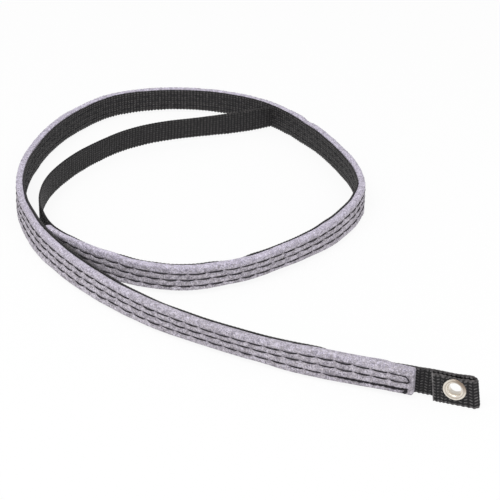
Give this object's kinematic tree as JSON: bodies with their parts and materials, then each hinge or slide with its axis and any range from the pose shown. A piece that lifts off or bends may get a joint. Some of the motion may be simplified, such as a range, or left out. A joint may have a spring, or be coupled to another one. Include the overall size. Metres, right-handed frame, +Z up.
{
  "type": "esd strap",
  "caption": "Long black webbing strap faced with a sewn grey felt strip, lying in a loose coil on its edge, with a folded tab that carries a metal eyelet and a bare tail.",
  "frame": {"origin": "centre of the eyelet's bore, midway through the folded tab", "axes": "+X past the folded end along the tab, -Y out of the felt side of the tab along the eyelet's axis, +Z up as the strap stands on its edge"},
  "size_m": [0.3667, 0.3548, 0.016],
  "materials": {
    "webbing": "dull woven polyester band, ribbed across its width",
    "felt": "thick soft wool felt, matt and slightly fuzzy",
    "needle_thread": "dark twisted sewing thread",
    "bobbin_thread": "black twisted sewing thread",
    "eyelet": "polished nickel plate, warm in tone",
    "eyelet_washer": "nickel plate, a little duller than the eyelet"
  },
  "bodies": {
    "coil": {"webbing_coil": "webbing", "felt_coil": "felt", "needle_thread_coil": "needle_thread", "bobbin_thread_coil": "bobbin_thread"},
    "lead": {"webbing_lead": "webbing", "felt_lead": "felt", "needle_thread_lead": "needle_thread", "bobbin_thread_lead": "bobbin_thread"},
    "tab": {"webbing_tab": "webbing", "eyelet": "eyelet", "eyelet_washer": "eyelet_washer"},
    "tail": {"webbing_tail": "webbing"},
    "tail_tip": {"webbing_tail_tip": "webbing"}
  },
  "joints": [
    {"name": "lead_flex", "type": "hinge", "parent": "coil", "child": "lead", "pos_m": [-0.19986, 0.02487, 0], "axis": [0, 0, 1], "range_deg": [-45, 15], "stiffness_Nm_per_rad": 0.02},
    {"name": "tab_flex", "type": "hinge", "parent": "lead", "child": "tab", "pos_m": [-0.0165, 0.0009, 0], "axis": [0, 0, 1], "range_deg": [-60, 60], "stiffness_Nm_per_rad": 0.004},
    {"name": "tail_flex", "type": "hinge", "parent": "coil", "child": "tail", "pos_m": [-0.31486, 0.15795, 0], "axis": [0, 0, 1], "range_deg": [-30, 0], "stiffness_Nm_per_rad": 0.004},
    {"name": "tip_flex", "type": "hinge", "parent": "tail", "child": "tail_tip", "pos_m": [-0.29445, 0.25485, 0], "axis": [0, 0, 1], "range_deg": [-30, 0], "stiffness_Nm_per_rad": 0.004}
  ]
}
